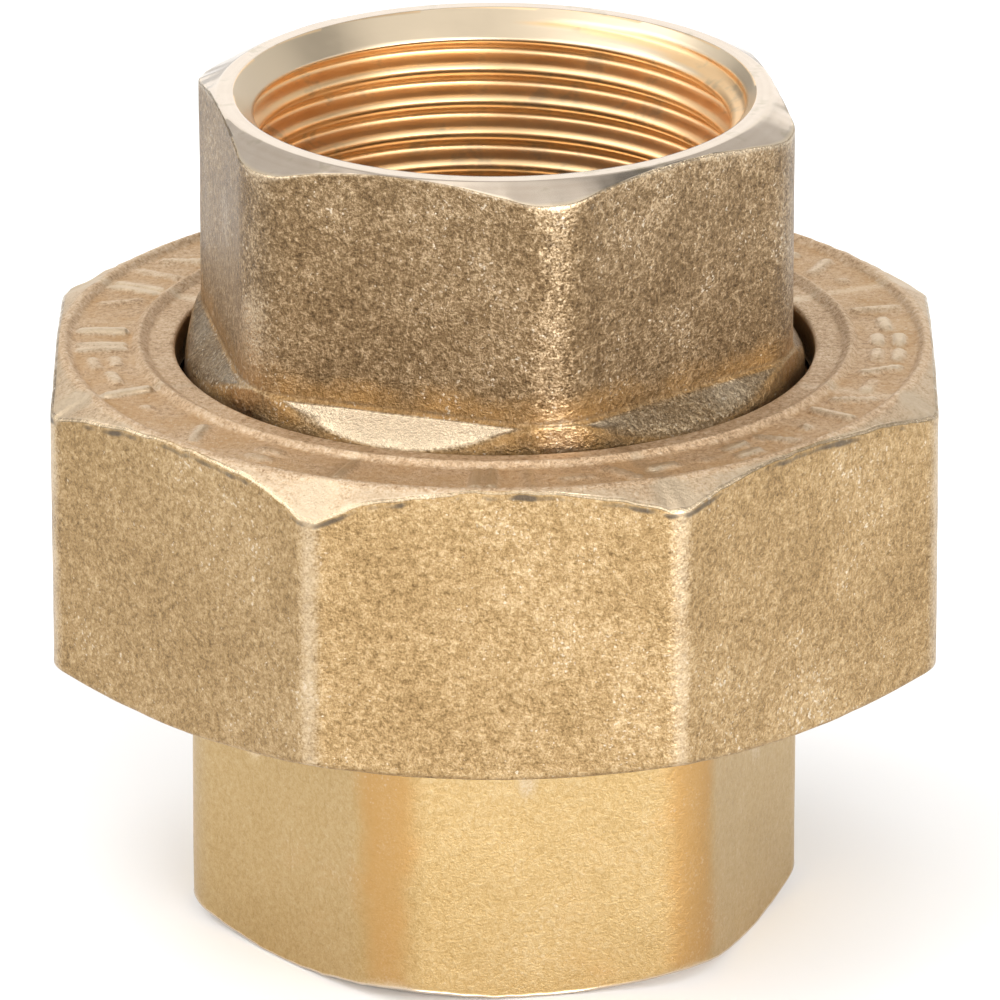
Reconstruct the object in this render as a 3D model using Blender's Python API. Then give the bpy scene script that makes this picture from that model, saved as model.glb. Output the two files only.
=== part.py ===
"""Flat-seat pipe union: two hexagon socket ends, the nut that pulls them together, a sealing ring.

Units are metres and +Z runs along the pipe. The origin is the centre of the lower end's face.
The nut's thread and the lower end's thread share one helix, so they stay in mesh as the nut
turns about Z and rises by one pitch per turn. Every object keeps its origin on that axis.
"""

import math
from collections import namedtuple

import bmesh
import bpy

MM = 0.001
STEPS = 48
ARC_STEPS = 6
OVERRUN = 2.0 * MM
WELD = 1e-4 * MM
SHARP_ANGLE = math.radians(24.0)

# One pitch of a thread: root flat, rising flank, crest flat, falling flank. Places are in pitches.
Thread = namedtuple("Thread", "pitch root crest")
ROOT_END = 0.17
CREST_START = 0.50
CREST_END = 0.67
THREAD_CORNERS = (0.0, ROOT_END, CREST_START, CREST_END)

# A cone that leads a thread in or out: its radius at one height, and how that changes with height.
Cone = namedtuple("Cone", "radius height slope")

# Threads. A cutter's crest is the bottom of the groove that it leaves in the wall.
UNION_PITCH = 2.309 * MM
UNION_MINOR = 19.476 * MM
UNION_MAJOR = 20.955 * MM
UNION_PLAY = 0.12 * MM
MALE_THREAD = Thread(UNION_PITCH, UNION_MINOR - UNION_PLAY, UNION_MAJOR - UNION_PLAY)
NUT_TAP = Thread(UNION_PITCH, UNION_MINOR + UNION_PLAY, UNION_MAJOR + UNION_PLAY)
PIPE_TAP = Thread(1.814 * MM, 12.30 * MM, 13.22 * MM)

# Heights along the pipe, from the lower face up
TOTAL_HEIGHT = 45.4 * MM
PIPE_THREAD_DEPTH = 12.6 * MM
THREAD_END_STEP = 1.0 * MM
SHOULDER_START = 12.6 * MM
SHOULDER_TOP = 16.0 * MM
GROOVE_TOP = 16.6 * MM
SEAT_HEIGHT = 24.2 * MM
REST_GAP = 0.25 * MM
GASKET_THICKNESS = 1.5 * MM
FLANGE_THICKNESS = 2.6 * MM
NUT_BOTTOM = 15.75 * MM
NUT_TOP = 31.8 * MM
LEDGE_HEIGHT = 32.65 * MM
LEDGE_CLEARANCE = 0.2 * MM

GASKET_BOTTOM = SEAT_HEIGHT + REST_GAP
GASKET_TOP = GASKET_BOTTOM + GASKET_THICKNESS
FLANGE_BOTTOM = GASKET_TOP + REST_GAP
FLANGE_TOP = FLANGE_BOTTOM + FLANGE_THICKNESS
LIP_BOTTOM = FLANGE_TOP + REST_GAP

# Hexagons of the two ends
HEX_FLATS = 29.4 * MM
HEX_CORNER = 4.4 * MM
HEX_ENVELOPE = 17.0 * MM
UPPER_HEX_TURN = math.radians(-109.2)
LOWER_HEX_TURN = math.radians(-80.4)
HEX_FLARE = 2.4 * MM
FLANGE_BLANK_FLARE = 6.0 * MM
FACE_RADIUS = 14.5 * MM
FACE_CHAMFER = math.radians(26.0)

# Bores and round stretches
COUNTERSINK_RADIUS = 13.7 * MM
WATERWAY_RADIUS = 11.4 * MM
SHOULDER_RADIUS = HEX_FLATS / 2 - 1.7 * MM
GROOVE_RADIUS = 18.9 * MM
SEAT_RADIUS = 19.0 * MM
NECK_RADIUS = 16.4 * MM
FLANGE_RADIUS = 19.1 * MM
FLANGE_CHAMFER = 0.4 * MM
GASKET_INNER = 12.1 * MM
GASKET_OUTER = 18.8 * MM

# Union nut
NUT_FLATS = 46.3 * MM
NUT_CORNER = 1.8 * MM
NUT_ENVELOPE = 26.0 * MM
NUT_TURN = math.radians(-90.0)
NUT_FACE_RADIUS = 22.75 * MM
NUT_CHAMFER = math.radians(27.0)
NUT_FOOT_RADIUS = 22.8 * MM
NUT_FOOT_CHAMFER = math.radians(22.0)
NUT_HOLE = 16.87 * MM
NUT_RECESS_TOP = 18.75 * MM
NUT_RECESS_FLOOR = 18.2 * MM
NUT_RECESS_DEPTH = 0.4 * MM
NUT_RELIEF = 21.3 * MM
NUT_MOUTH = UNION_MAJOR + 0.8 * MM
NUT_THREAD_END = FLANGE_BOTTOM - 0.3 * MM
NUT_EDGE = 0.35 * MM


def clear_scene():
    """Removes whatever the scene held."""
    for item in list(bpy.data.objects):
        bpy.data.objects.remove(item, do_unlink=True)


def object_from(shape, name):
    """Turns a bmesh into a smooth-shaded object of the scene."""
    bmesh.ops.recalc_face_normals(shape, faces=shape.faces)
    mesh = bpy.data.meshes.new(name)
    shape.to_mesh(mesh)
    shape.free()
    mesh.shade_smooth()
    mesh.set_sharp_from_angle(angle=SHARP_ANGLE)
    item = bpy.data.objects.new(name, mesh)
    bpy.context.collection.objects.link(item)
    return item


def rounded_polygon(sides, flats, corner, turn):
    """Outline of a regular polygon with arcs for corners; turn is the direction of one face."""
    half = math.pi / sides
    reach = (flats / 2 - corner) / math.cos(half)
    outline = []
    for side in range(sides):
        middle = turn + half + side * 2 * half
        for step in range(ARC_STEPS + 1):
            angle = middle + half * (2 * step / ARC_STEPS - 1)
            x = reach * math.cos(middle) + corner * math.cos(angle)
            y = reach * math.sin(middle) + corner * math.sin(angle)
            outline.append((x, y))
    return outline


def loft(name, sections):
    """A closed solid through outlines of equal length, given as (outline, height) from the base up."""
    shape = bmesh.new()
    rings = [[shape.verts.new((x, y, z)) for x, y in outline] for outline, z in sections]
    for low, high in zip(rings, rings[1:]):
        for here in range(len(low)):
            after = (here + 1) % len(low)
            shape.faces.new((low[here], low[after], high[after], high[here]))
    shape.faces.new(rings[0])
    shape.faces.new(rings[-1])
    return object_from(shape, name)


def turned(name, profile):
    """A lathe solid: the (radius, height) profile starts and ends on the axis."""
    shape = bmesh.new()
    points = [shape.verts.new((radius, 0, z)) for radius, z in profile]
    edges = [shape.edges.new(pair) for pair in zip(points, points[1:])]
    bmesh.ops.spin(
        shape,
        geom=points + edges,
        cent=(0, 0, 0),
        axis=(0, 0, 1),
        angle=math.tau,
        steps=STEPS,
    )
    bmesh.ops.remove_doubles(shape, verts=shape.verts, dist=WELD)
    return object_from(shape, name)


def thread_radius(thread, height):
    """Radius of the thread's outline at a height above the start of one of its root flats."""
    place = (height / thread.pitch) % 1.0
    if place < ROOT_END:
        return thread.root
    if place < CREST_START:
        rise = (place - ROOT_END) / (CREST_START - ROOT_END)
        return thread.root + rise * (thread.crest - thread.root)
    if place < CREST_END:
        return thread.crest
    fall = (place - CREST_END) / (1 - CREST_END)
    return thread.crest - fall * (thread.crest - thread.root)


def thread_column(thread, step, z_from, z_to, cones, pick):
    """Corners of the thread in one column of the sweep, held between its two end planes."""
    climb = thread.pitch * step / STEPS
    first_turn = math.floor(z_from / thread.pitch) - 1
    last_turn = math.ceil(z_to / thread.pitch) + 1
    corners = []
    for turn in range(first_turn, last_turn):
        for place in THREAD_CORNERS:
            height = min(max((turn + place) * thread.pitch + climb, z_from), z_to)
            radii = [cone.radius + cone.slope * (height - cone.height) for cone in cones]
            corners.append((pick(thread_radius(thread, height - climb), *radii), height))
    return corners


def screw_body(name, thread, z_from, z_to, below, above, cones, pick):
    """A closed turned solid with a helical thread between plain rings below and above it.

    The cones lead the thread in and out: pick is min on a rod, and max on a tap that cuts a bore.
    """
    shape = bmesh.new()
    columns = []
    for step in range(STEPS):
        angle = math.tau * step / STEPS
        profile = below + thread_column(thread, step, z_from, z_to, cones, pick) + above
        columns.append([shape.verts.new((r * math.cos(angle), r * math.sin(angle), z)) for r, z in profile])
    first = len(below)
    last = len(columns[0]) - len(above) - 1
    for step in range(STEPS):
        here, after = columns[step], columns[(step + 1) % STEPS]
        # Past the last column each thread corner meets the one a whole pitch up in the first column.
        jump = len(THREAD_CORNERS) if step == STEPS - 1 else 0
        partner = [min(row + jump, last) if first <= row <= last else row for row in range(len(here))]
        for row in range(len(here) - 1):
            corners = (here[row], after[partner[row]], after[partner[row + 1]], here[row + 1])
            if len(set(corners)) == len(corners):
                shape.faces.new(corners)
    shape.faces.new([column[0] for column in columns])
    shape.faces.new([column[-1] for column in columns])
    bmesh.ops.remove_doubles(shape, verts=shape.verts, dist=WELD)
    return object_from(shape, name)


def combine(target, tool, operation):
    """Adds an exact Boolean to target and hides the tool."""
    modifier = target.modifiers.new(tool.name, "BOOLEAN")
    modifier.operation = operation
    modifier.solver = "EXACT"
    modifier.object = tool
    tool.hide_render = True
    tool.display_type = "WIRE"


def finish(item, name, colour, roughness, metallic):
    """Gives a piece its material."""
    material = bpy.data.materials.new(name)
    material.use_nodes = True
    shader = material.node_tree.nodes["Principled BSDF"]
    shader.inputs["Base Color"].default_value = (*colour, 1)
    shader.inputs["Roughness"].default_value = roughness
    shader.inputs["Metallic"].default_value = metallic
    item.data.materials.append(material)


def chamfer_height(radius, face_radius, angle):
    """How far a chamfer has fallen away from its face by the time it reaches this radius."""
    return (radius - face_radius) * math.tan(angle)


def lower_end():
    """Hexagon socket whose collar carries the external thread and the flat seat."""
    drop = chamfer_height(HEX_ENVELOPE, FACE_RADIUS, FACE_CHAMFER)
    hexagon = rounded_polygon(6, HEX_FLATS, HEX_CORNER, LOWER_HEX_TURN)
    body = loft("lower_end", [(hexagon, 0), (hexagon, (SHOULDER_START + SHOULDER_TOP) / 2)])
    envelope = turned(
        "lower_end_envelope",
        [(0, 0), (FACE_RADIUS, 0), (HEX_ENVELOPE, drop), (HEX_ENVELOPE, SEAT_HEIGHT), (0, SEAT_HEIGHT)],
    )
    collar = screw_body(
        "collar",
        MALE_THREAD,
        GROOVE_TOP,
        SEAT_HEIGHT,
        [(SHOULDER_RADIUS, SHOULDER_START), (GROOVE_RADIUS, SHOULDER_TOP)],
        [],
        [Cone(GROOVE_RADIUS, GROOVE_TOP, 1), Cone(SEAT_RADIUS, SEAT_HEIGHT, -1)],
        min,
    )
    bore = screw_body(
        "lower_socket",
        PIPE_TAP,
        0,
        PIPE_THREAD_DEPTH,
        [(COUNTERSINK_RADIUS + OVERRUN, -OVERRUN)],
        [
            (WATERWAY_RADIUS, PIPE_THREAD_DEPTH + THREAD_END_STEP),
            (WATERWAY_RADIUS, SEAT_HEIGHT + OVERRUN),
        ],
        [Cone(COUNTERSINK_RADIUS, 0, -1)],
        max,
    )
    combine(body, envelope, "INTERSECT")
    combine(body, collar, "UNION")
    combine(body, bore, "DIFFERENCE")
    finish(body, "satin cast brass", (0.76, 0.53, 0.22), 0.42, 1.0)


def upper_end():
    """Hexagon socket on a round neck, with the flange that the nut pulls down."""
    drop = chamfer_height(HEX_ENVELOPE, FACE_RADIUS, FACE_CHAMFER)
    hexagon = rounded_polygon(6, HEX_FLATS, HEX_CORNER, UPPER_HEX_TURN)
    flared = rounded_polygon(6, HEX_FLATS + 2 * HEX_FLARE, HEX_CORNER, UPPER_HEX_TURN)
    flange_flats = HEX_FLATS + 2 * FLANGE_BLANK_FLARE
    flange_blank = rounded_polygon(6, flange_flats, HEX_CORNER, UPPER_HEX_TURN)
    body = loft(
        "upper_end",
        [
            (flange_blank, FLANGE_BOTTOM),
            (flange_blank, FLANGE_TOP),
            (flared, LEDGE_HEIGHT - HEX_FLARE),
            (hexagon, LEDGE_HEIGHT),
            (hexagon, TOTAL_HEIGHT),
        ],
    )
    envelope = turned(
        "upper_end_envelope",
        [
            (0, FLANGE_BOTTOM),
            (FLANGE_RADIUS - FLANGE_CHAMFER, FLANGE_BOTTOM),
            (FLANGE_RADIUS, FLANGE_BOTTOM + FLANGE_CHAMFER),
            (FLANGE_RADIUS, FLANGE_TOP),
            (NECK_RADIUS, FLANGE_TOP),
            (NECK_RADIUS, LEDGE_HEIGHT + LEDGE_CLEARANCE),
            (HEX_ENVELOPE, LEDGE_HEIGHT + LEDGE_CLEARANCE + HEX_ENVELOPE - NECK_RADIUS),
            (HEX_ENVELOPE, TOTAL_HEIGHT - drop),
            (FACE_RADIUS, TOTAL_HEIGHT),
            (0, TOTAL_HEIGHT),
        ],
    )
    bore = screw_body(
        "upper_socket",
        PIPE_TAP,
        TOTAL_HEIGHT - PIPE_THREAD_DEPTH,
        TOTAL_HEIGHT,
        [
            (WATERWAY_RADIUS, FLANGE_BOTTOM - OVERRUN),
            (WATERWAY_RADIUS, TOTAL_HEIGHT - PIPE_THREAD_DEPTH - THREAD_END_STEP),
        ],
        [(COUNTERSINK_RADIUS + OVERRUN, TOTAL_HEIGHT + OVERRUN)],
        [Cone(COUNTERSINK_RADIUS, TOTAL_HEIGHT, 1)],
        max,
    )
    combine(body, envelope, "INTERSECT")
    combine(body, bore, "DIFFERENCE")
    finish(body, "sand cast brass", (0.50, 0.36, 0.18), 0.55, 1.0)


def union_nut():
    """Octagon nut: internal thread below, a lip at the top that holds the flange."""
    octagon = rounded_polygon(8, NUT_FLATS, NUT_CORNER, NUT_TURN)
    narrow = rounded_polygon(8, NUT_FLATS - 2 * NUT_EDGE, NUT_CORNER, NUT_TURN)
    drop = chamfer_height(NUT_ENVELOPE, NUT_FACE_RADIUS, NUT_CHAMFER)
    rise = chamfer_height(NUT_ENVELOPE, NUT_FOOT_RADIUS, NUT_FOOT_CHAMFER)
    body = loft(
        "union_nut",
        [(narrow, NUT_BOTTOM), (octagon, NUT_BOTTOM + NUT_EDGE), (octagon, NUT_TOP)],
    )
    envelope = turned(
        "nut_envelope",
        [
            (0, NUT_BOTTOM),
            (NUT_FOOT_RADIUS, NUT_BOTTOM),
            (NUT_ENVELOPE, NUT_BOTTOM + rise),
            (NUT_ENVELOPE, NUT_TOP - drop),
            (NUT_FACE_RADIUS, NUT_TOP),
            (0, NUT_TOP),
        ],
    )
    recess = NUT_RECESS_TOP - NUT_RECESS_FLOOR
    bore = screw_body(
        "nut_bore",
        NUT_TAP,
        NUT_BOTTOM,
        NUT_THREAD_END,
        [(NUT_MOUTH, NUT_BOTTOM - OVERRUN)],
        [
            (NUT_RELIEF, LIP_BOTTOM),
            (NUT_HOLE, LIP_BOTTOM),
            (NUT_HOLE, NUT_TOP - NUT_RECESS_DEPTH),
            (NUT_RECESS_FLOOR, NUT_TOP - NUT_RECESS_DEPTH),
            (NUT_RECESS_TOP, NUT_TOP),
            (NUT_RECESS_TOP + recess, NUT_TOP + NUT_RECESS_DEPTH),
        ],
        [Cone(NUT_MOUTH, NUT_BOTTOM, -1), Cone(NUT_RELIEF, NUT_THREAD_END, 1)],
        max,
    )
    combine(body, envelope, "INTERSECT")
    combine(body, bore, "DIFFERENCE")
    finish(body, "grained cast brass", (0.56, 0.38, 0.17), 0.50, 1.0)


def gasket():
    """Flat rubber ring between the seat and the flange."""
    body = turned(
        "gasket",
        [
            (0, GASKET_BOTTOM),
            (GASKET_OUTER, GASKET_BOTTOM),
            (GASKET_OUTER, GASKET_TOP),
            (0, GASKET_TOP),
        ],
    )
    hole = turned(
        "gasket_hole",
        [
            (0, GASKET_BOTTOM - OVERRUN),
            (GASKET_INNER, GASKET_BOTTOM - OVERRUN),
            (GASKET_INNER, GASKET_TOP + OVERRUN),
            (0, GASKET_TOP + OVERRUN),
        ],
    )
    combine(body, hole, "DIFFERENCE")
    finish(body, "black rubber", (0.03, 0.03, 0.032), 0.65, 0.0)


clear_scene()
lower_end()
gasket()
union_nut()
upper_end()
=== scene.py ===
"""Finished look of a brass pipe union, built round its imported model.

Both ends, the union nut and the sealing ring are each one closed surface. A surface is made of
rows carried round the pipe axis: a row gives a radius and a height for every direction, so flats,
chamfers, threads, casting marks and worn edges are formulas on whole arrays.
Lengths are in metres, +Z runs up the pipe, and directions round the axis are angles from +X.
"""

from __future__ import annotations

import logging
import math
from dataclasses import dataclass, field
from enum import Enum, IntEnum
from typing import Union

import bpy
import numpy as np
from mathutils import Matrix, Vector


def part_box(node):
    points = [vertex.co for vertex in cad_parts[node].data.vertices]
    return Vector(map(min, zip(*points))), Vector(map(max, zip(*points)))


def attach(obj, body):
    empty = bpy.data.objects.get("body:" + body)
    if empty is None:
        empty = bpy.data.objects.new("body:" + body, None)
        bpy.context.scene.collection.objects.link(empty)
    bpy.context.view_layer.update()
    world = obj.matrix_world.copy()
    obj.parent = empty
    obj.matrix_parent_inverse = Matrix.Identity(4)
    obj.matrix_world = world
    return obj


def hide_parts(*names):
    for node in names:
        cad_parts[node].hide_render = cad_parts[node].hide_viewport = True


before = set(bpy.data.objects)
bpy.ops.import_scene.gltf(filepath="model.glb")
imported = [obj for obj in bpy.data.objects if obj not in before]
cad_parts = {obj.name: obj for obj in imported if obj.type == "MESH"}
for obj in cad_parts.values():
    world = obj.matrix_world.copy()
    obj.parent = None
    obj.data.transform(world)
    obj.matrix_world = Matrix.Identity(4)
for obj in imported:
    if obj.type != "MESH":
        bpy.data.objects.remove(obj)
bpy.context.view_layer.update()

MM = 0.001
FILLET_ROWS = 5
# Rows stand this far inside both ends of every run, so that flats stay flat up to their edges.
SUPPORT = 0.12 * MM
MOST_SUPPORT = 0.25
# A corner's curve takes up no more than this share of the shorter run beside it.
MOST_FILLET = 0.45
# Points closer than this are one point.
SAME_PLACE = 1e-4 * MM
TINY = 1e-9
LOG = logging.getLogger("pipe_union")
Level = Union[float, np.ndarray]


# ---------------------------------------------------------------------------------------------
# Shader graphs
# ---------------------------------------------------------------------------------------------


class Signal:
    """One socket that varies over a surface; arithmetic on it adds Math nodes to its graph."""

    def __init__(self, graph: Graph, socket: bpy.types.NodeSocket) -> None:
        """Wraps a socket of a graph."""
        self.graph = graph
        self.socket = socket

    def _math(self, operation: str, first: Operand, second: Operand, clamp: bool = False) -> Signal:
        """Adds one Math node on two values."""
        settings = {"operation": operation, "use_clamp": clamp}
        return self.graph.signal("ShaderNodeMath", settings, {0: first, 1: second})

    def __add__(self, other: Operand) -> Signal:
        """Sum."""
        return self._math("ADD", self, other)

    __radd__ = __add__

    def __sub__(self, other: Operand) -> Signal:
        """Difference."""
        return self._math("SUBTRACT", self, other)

    def __rsub__(self, other: Operand) -> Signal:
        """Difference with this signal on the right."""
        return self._math("SUBTRACT", other, self)

    def __mul__(self, other: Operand) -> Signal:
        """Product."""
        return self._math("MULTIPLY", self, other)

    __rmul__ = __mul__

    def __pow__(self, power: float) -> Signal:
        """Power."""
        return self._math("POWER", self, power)

    def held(self) -> Signal:
        """The signal held between 0 and 1."""
        return self._math("ADD", self, 0.0, clamp=True)

    def rising(self, low: float, high: float) -> Signal:
        """0 below low, 1 above high and a smooth step between; low above high gives a falling step.

        Args:
            low: the value where the step starts.
            high: the value where the step ends.

        Returns:
            The stepped signal.
        """
        settings = {"interpolation_type": "SMOOTHSTEP"}
        if low < high:
            inputs = {"Value": self, "From Min": low, "From Max": high}
            return self.graph.signal("ShaderNodeMapRange", settings, inputs)
        return 1.0 - self.rising(high, low)

    def swing(self, share: float) -> Signal:
        """A noise about its middle of one half, times a share: an even noise adds nothing."""
        return (self - 0.5) * share


Operand = Union[Signal, float]
Colour = tuple[float, float, float]


class Graph:
    """The node tree of one material, or of the surroundings."""

    def __init__(self, tree: bpy.types.NodeTree) -> None:
        """Takes over a node tree and empties it."""
        self.tree = tree
        self.tree.nodes.clear()

    def node(self, kind: str, settings: dict, inputs: dict) -> bpy.types.Node:
        """Adds any node.

        Args:
            kind: the node's type name.
            settings: its own settings, set before its sockets; stops sets a colour ramp.
            inputs: the value or Signal of each socket, by name or number.

        Returns:
            The node.
        """
        made = self.tree.nodes.new(kind)
        for name, value in settings.items():
            if name == "stops":
                self._set_stops(made.color_ramp, value)
            else:
                setattr(made, name, value)
        for key, value in inputs.items():
            if isinstance(value, Signal):
                self.tree.links.new(value.socket, made.inputs[key])
            else:
                made.inputs[key].default_value = value
        return made

    @staticmethod
    def _set_stops(ramp: bpy.types.ColorRamp, stops: list[tuple[float, Colour]]) -> None:
        """Gives a colour ramp its (place, colour) stops, in rising order."""
        for number, (place, colour) in enumerate(stops):
            stop = ramp.elements[number] if number < 2 else ramp.elements.new(place)
            stop.position = place
            stop.color = (*colour, 1.0)

    def signal(self, kind: str, settings: dict, inputs: dict, output: int | str = 0) -> Signal:
        """Adds any node and returns one of its outputs as a Signal."""
        return Signal(self, self.node(kind, settings, inputs).outputs[output])

    def place(self) -> Signal:
        """Object coordinates."""
        return self.signal("ShaderNodeTexCoord", {}, {}, "Object")

    def noise(
        self, spot: Signal, size: float, detail: float = 2.0, roughness: float = 0.5
    ) -> Signal:
        """Noise from 0 to 1 whose lumps are about size across."""
        inputs = {"Vector": spot, "Scale": 1.0 / size, "Detail": detail, "Roughness": roughness}
        return self.signal("ShaderNodeTexNoise", {}, inputs)

    def painted(self, name: str) -> Signal:
        """A number stored on the mesh's points."""
        return self.signal("ShaderNodeAttribute", {"attribute_name": name}, {}, "Fac")

    def ramp(self, factor: Signal, stops: list[tuple[float, Colour]]) -> Signal:
        """A colour read from stops along a factor."""
        return self.signal("ShaderNodeValToRGB", {"stops": stops}, {0: factor})

    def mix(self, factor: Operand, first: Signal | Colour, second: Signal | Colour) -> Signal:
        """A blend of two colours; 6, 7 and 2 are the colour sockets of a Mix node."""
        settings = {"data_type": "RGBA", "blend_type": "MIX", "clamp_result": True}
        colours = [c if isinstance(c, Signal) else (*c, 1.0) for c in (first, second)]
        return self.signal("ShaderNodeMix", settings, {0: factor, 6: colours[0], 7: colours[1]}, 2)

    def bump(self, height: Signal, depth: float) -> Signal:
        """A normal pushed about by a height from 0 to 1 that stands for depth metres."""
        inputs = {"Height": height, "Distance": depth, "Strength": 1.0}
        return self.signal("ShaderNodeBump", {}, inputs)

    def surface(self, **sockets: Operand | Signal | Colour) -> None:
        """Ends the graph in a Principled shader.

        Args:
            sockets: value or Signal of each of its sockets, with _ for a space in the name.
        """
        inputs = {}
        for name, value in sockets.items():
            if isinstance(value, tuple) and len(value) == 3:
                value = (*value, 1.0)
            inputs[name.replace("_", " ")] = value
        shader = self.signal("ShaderNodeBsdfPrincipled", {}, inputs)
        self.node("ShaderNodeOutputMaterial", {}, {"Surface": shader})


def new_material(name: str) -> tuple[bpy.types.Material, Graph]:
    """An empty material of that name, and its graph."""
    made = bpy.data.materials.new(name)
    made.use_nodes = True
    return made, Graph(made.node_tree)


# ---------------------------------------------------------------------------------------------
# Finishes
# ---------------------------------------------------------------------------------------------


@dataclass(frozen=True)
class SandCastBrass:
    """Brass as it left a sand mould: fine grain, light specks, dull clouds, bright worn edges.

    The colour is read along a tone that sums grain, flecks and clouds. It then shifts to orange
    tarnish where the stain is high, to light specks, to worn brass where the wear is high and to a
    dark colour where the grime is high. The wear is real except on the upper end's front ledge,
    where it is a painted highlight; the grime is real dirt under the nut's edge and in random
    patches, and painted shade everywhere else.
    """

    name: str
    dark: Colour
    body: Colour
    light: Colour
    bare_and_highlit: Colour = (0.66, 0.53, 0.37)
    # Dark colour for real dirt and for painted shade under the ledges, on the shoulder under the
    # nut and in the nut's recess and gap.
    dirt_and_shade: Colour = (0.050, 0.035, 0.022)
    tarnish: Colour = (0.48, 0.27, 0.090)
    speck: Colour = (0.70, 0.60, 0.46)
    tone_stops: tuple[float, float, float] = (0.10, 0.48, 0.90)
    grain: float = 0.13 * MM
    cloud: float = 2.6 * MM
    grains_in_fleck: float = 2.6
    grains_in_speck: float = 1.6
    clouds_in_patch: float = 3.4
    grain_depth: float = 0.070 * MM
    contrast: float = 0.6
    roughness: float = 0.40
    specks: float = 0.5
    most_stain: float = 0.75
    most_bare_and_highlit: float = 0.75
    most_dirt_and_shade: float = 0.85
    dirt_and_shade_hide_metal: float = 0.7

    def material(self) -> bpy.types.Material:
        """Builds the material."""
        made, graph = new_material(self.name)
        spot = graph.place()
        grain = graph.noise(spot, self.grain, detail=4.0, roughness=0.70)
        fleck = graph.noise(spot, self.grain * self.grains_in_fleck, detail=3.0, roughness=0.65)
        cloud = graph.noise(spot, self.cloud, detail=3.0, roughness=0.55)
        patch = graph.noise(spot, self.cloud * self.clouds_in_patch)
        fine = grain.swing(1.1) + fleck.swing(0.9)
        tone = 0.5 + self.contrast * (fine + cloud.swing(0.24) + patch.swing(0.3))
        stops = list(zip(self.tone_stops, (self.dark, self.body, self.light)))
        colour = graph.ramp(tone.held(), stops)
        # The wear is real wear, except on the upper end's front ledge, where it carries a painted
        # highlight; the bare brass mixed below paints both.
        wear_and_highlight = graph.painted("wear_and_highlight") * (0.55 + 0.9 * cloud)
        worn = (wear_and_highlight + grain.swing(0.9)).rising(0.25, 0.9)
        dots = graph.noise(spot, self.grain * self.grains_in_speck, detail=1.0)
        speck = (dots * 0.75 + cloud * 0.35 + patch * 0.25).rising(0.80, 0.92)
        # The grime is real dirt under the nut's chamfer edge and in random patches, and painted
        # shade under the ledges, in the recess and gap round the neck and on the shoulder under the
        # nut; the mix below paints both dark.
        grime_and_shade = (graph.painted("grime_and_shade") + cloud.swing(0.8) + grain.swing(0.5)).rising(0.35, 0.95)
        stain = (graph.painted("stain") + cloud.swing(0.9) + grain.swing(0.4)).rising(0.30, 0.95)
        colour = graph.mix(stain * self.most_stain, colour, self.tarnish)
        colour = graph.mix(speck * self.specks, colour, self.speck)
        colour = graph.mix(worn * self.most_bare_and_highlit, colour, self.bare_and_highlit)
        colour = graph.mix(grime_and_shade * self.most_dirt_and_shade, colour, self.dirt_and_shade)
        rough = self.roughness + grain.swing(0.25) + cloud.swing(0.12) - worn * 0.17 + grime_and_shade * 0.2
        height = (grain * 0.7 + fleck * 0.7) * (1.0 - worn * 0.45) + cloud * 0.4
        graph.surface(
            Base_Color=colour,
            Roughness=rough.held(),
            Metallic=1.0 - grime_and_shade * self.dirt_and_shade_hide_metal,
            Normal=graph.bump(height, self.grain_depth),
        )
        return made


@dataclass(frozen=True)
class TurnedBrass:
    """Brass cut on a lathe: close rings of tool marks round the axis, a few stains, and painted
    shade where the grime is high.

    The marks are noise on (distance from the axis, height), so they run round the pipe. Where the
    wear is high the metal is polished.
    """

    name: str
    bright: Colour
    shade: Colour
    ring: float = 0.05 * MM
    ring_depth: float = 0.0012 * MM
    roughness: float = 0.14
    polished: Colour = (0.73, 0.60, 0.43)
    tarnish: Colour = (0.42, 0.35, 0.24)
    # Dark colour for painted shade: the only grime on turned brass is the darkened recess and gap
    # round the neck inside the nut.
    dirt_and_shade: Colour = (0.10, 0.06, 0.03)
    rings_in_band: float = 9.0
    drift: float = 0.01
    stain: float = 1.9 * MM
    shade_breakup: float = 0.18 * MM
    most_stain: float = 0.55
    most_dirt_and_shade: float = 0.7

    def material(self) -> bpy.types.Material:
        """Builds the material."""
        made, graph = new_material(self.name)
        spot = graph.place()
        parts = graph.node("ShaderNodeSeparateXYZ", {}, {0: spot})
        x, y, z = (Signal(graph, socket) for socket in parts.outputs)
        reach = (x * x + y * y) ** 0.5
        along = graph.signal("ShaderNodeCombineXYZ", {}, {"X": reach, "Y": x * self.drift, "Z": z})
        rings = graph.noise(along, self.ring, detail=3.0, roughness=0.7)
        bands = graph.noise(along, self.ring * self.rings_in_band)
        stain = graph.noise(spot, self.stain, detail=3.0, roughness=0.6)
        shade_breakup = graph.noise(spot, self.shade_breakup, roughness=0.7)
        tone = (0.5 + bands.swing(0.7) + stain.swing(0.8)).held()
        colour = graph.mix(tone, self.shade, self.bright)
        colour = graph.mix(stain.rising(0.54, 0.70) * self.most_stain, colour, self.tarnish)
        colour = graph.mix(graph.painted("wear_and_highlight"), colour, self.polished)
        # Painted shade: this grime darkens the recess and the gap wall round the neck inside the
        # nut, broken up by noise.
        grime_and_shade = (graph.painted("grime_and_shade") + shade_breakup.swing(0.9)).rising(0.45, 0.95)
        colour = graph.mix(grime_and_shade * self.most_dirt_and_shade, colour, self.dirt_and_shade)
        rough = self.roughness + rings.swing(0.10) + stain.swing(0.12) + grime_and_shade * 0.25
        graph.surface(
            Base_Color=colour,
            Roughness=rough.held(),
            Metallic=1.0,
            Normal=graph.bump(rings + bands * 2.0, self.ring_depth),
        )
        return made


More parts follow.
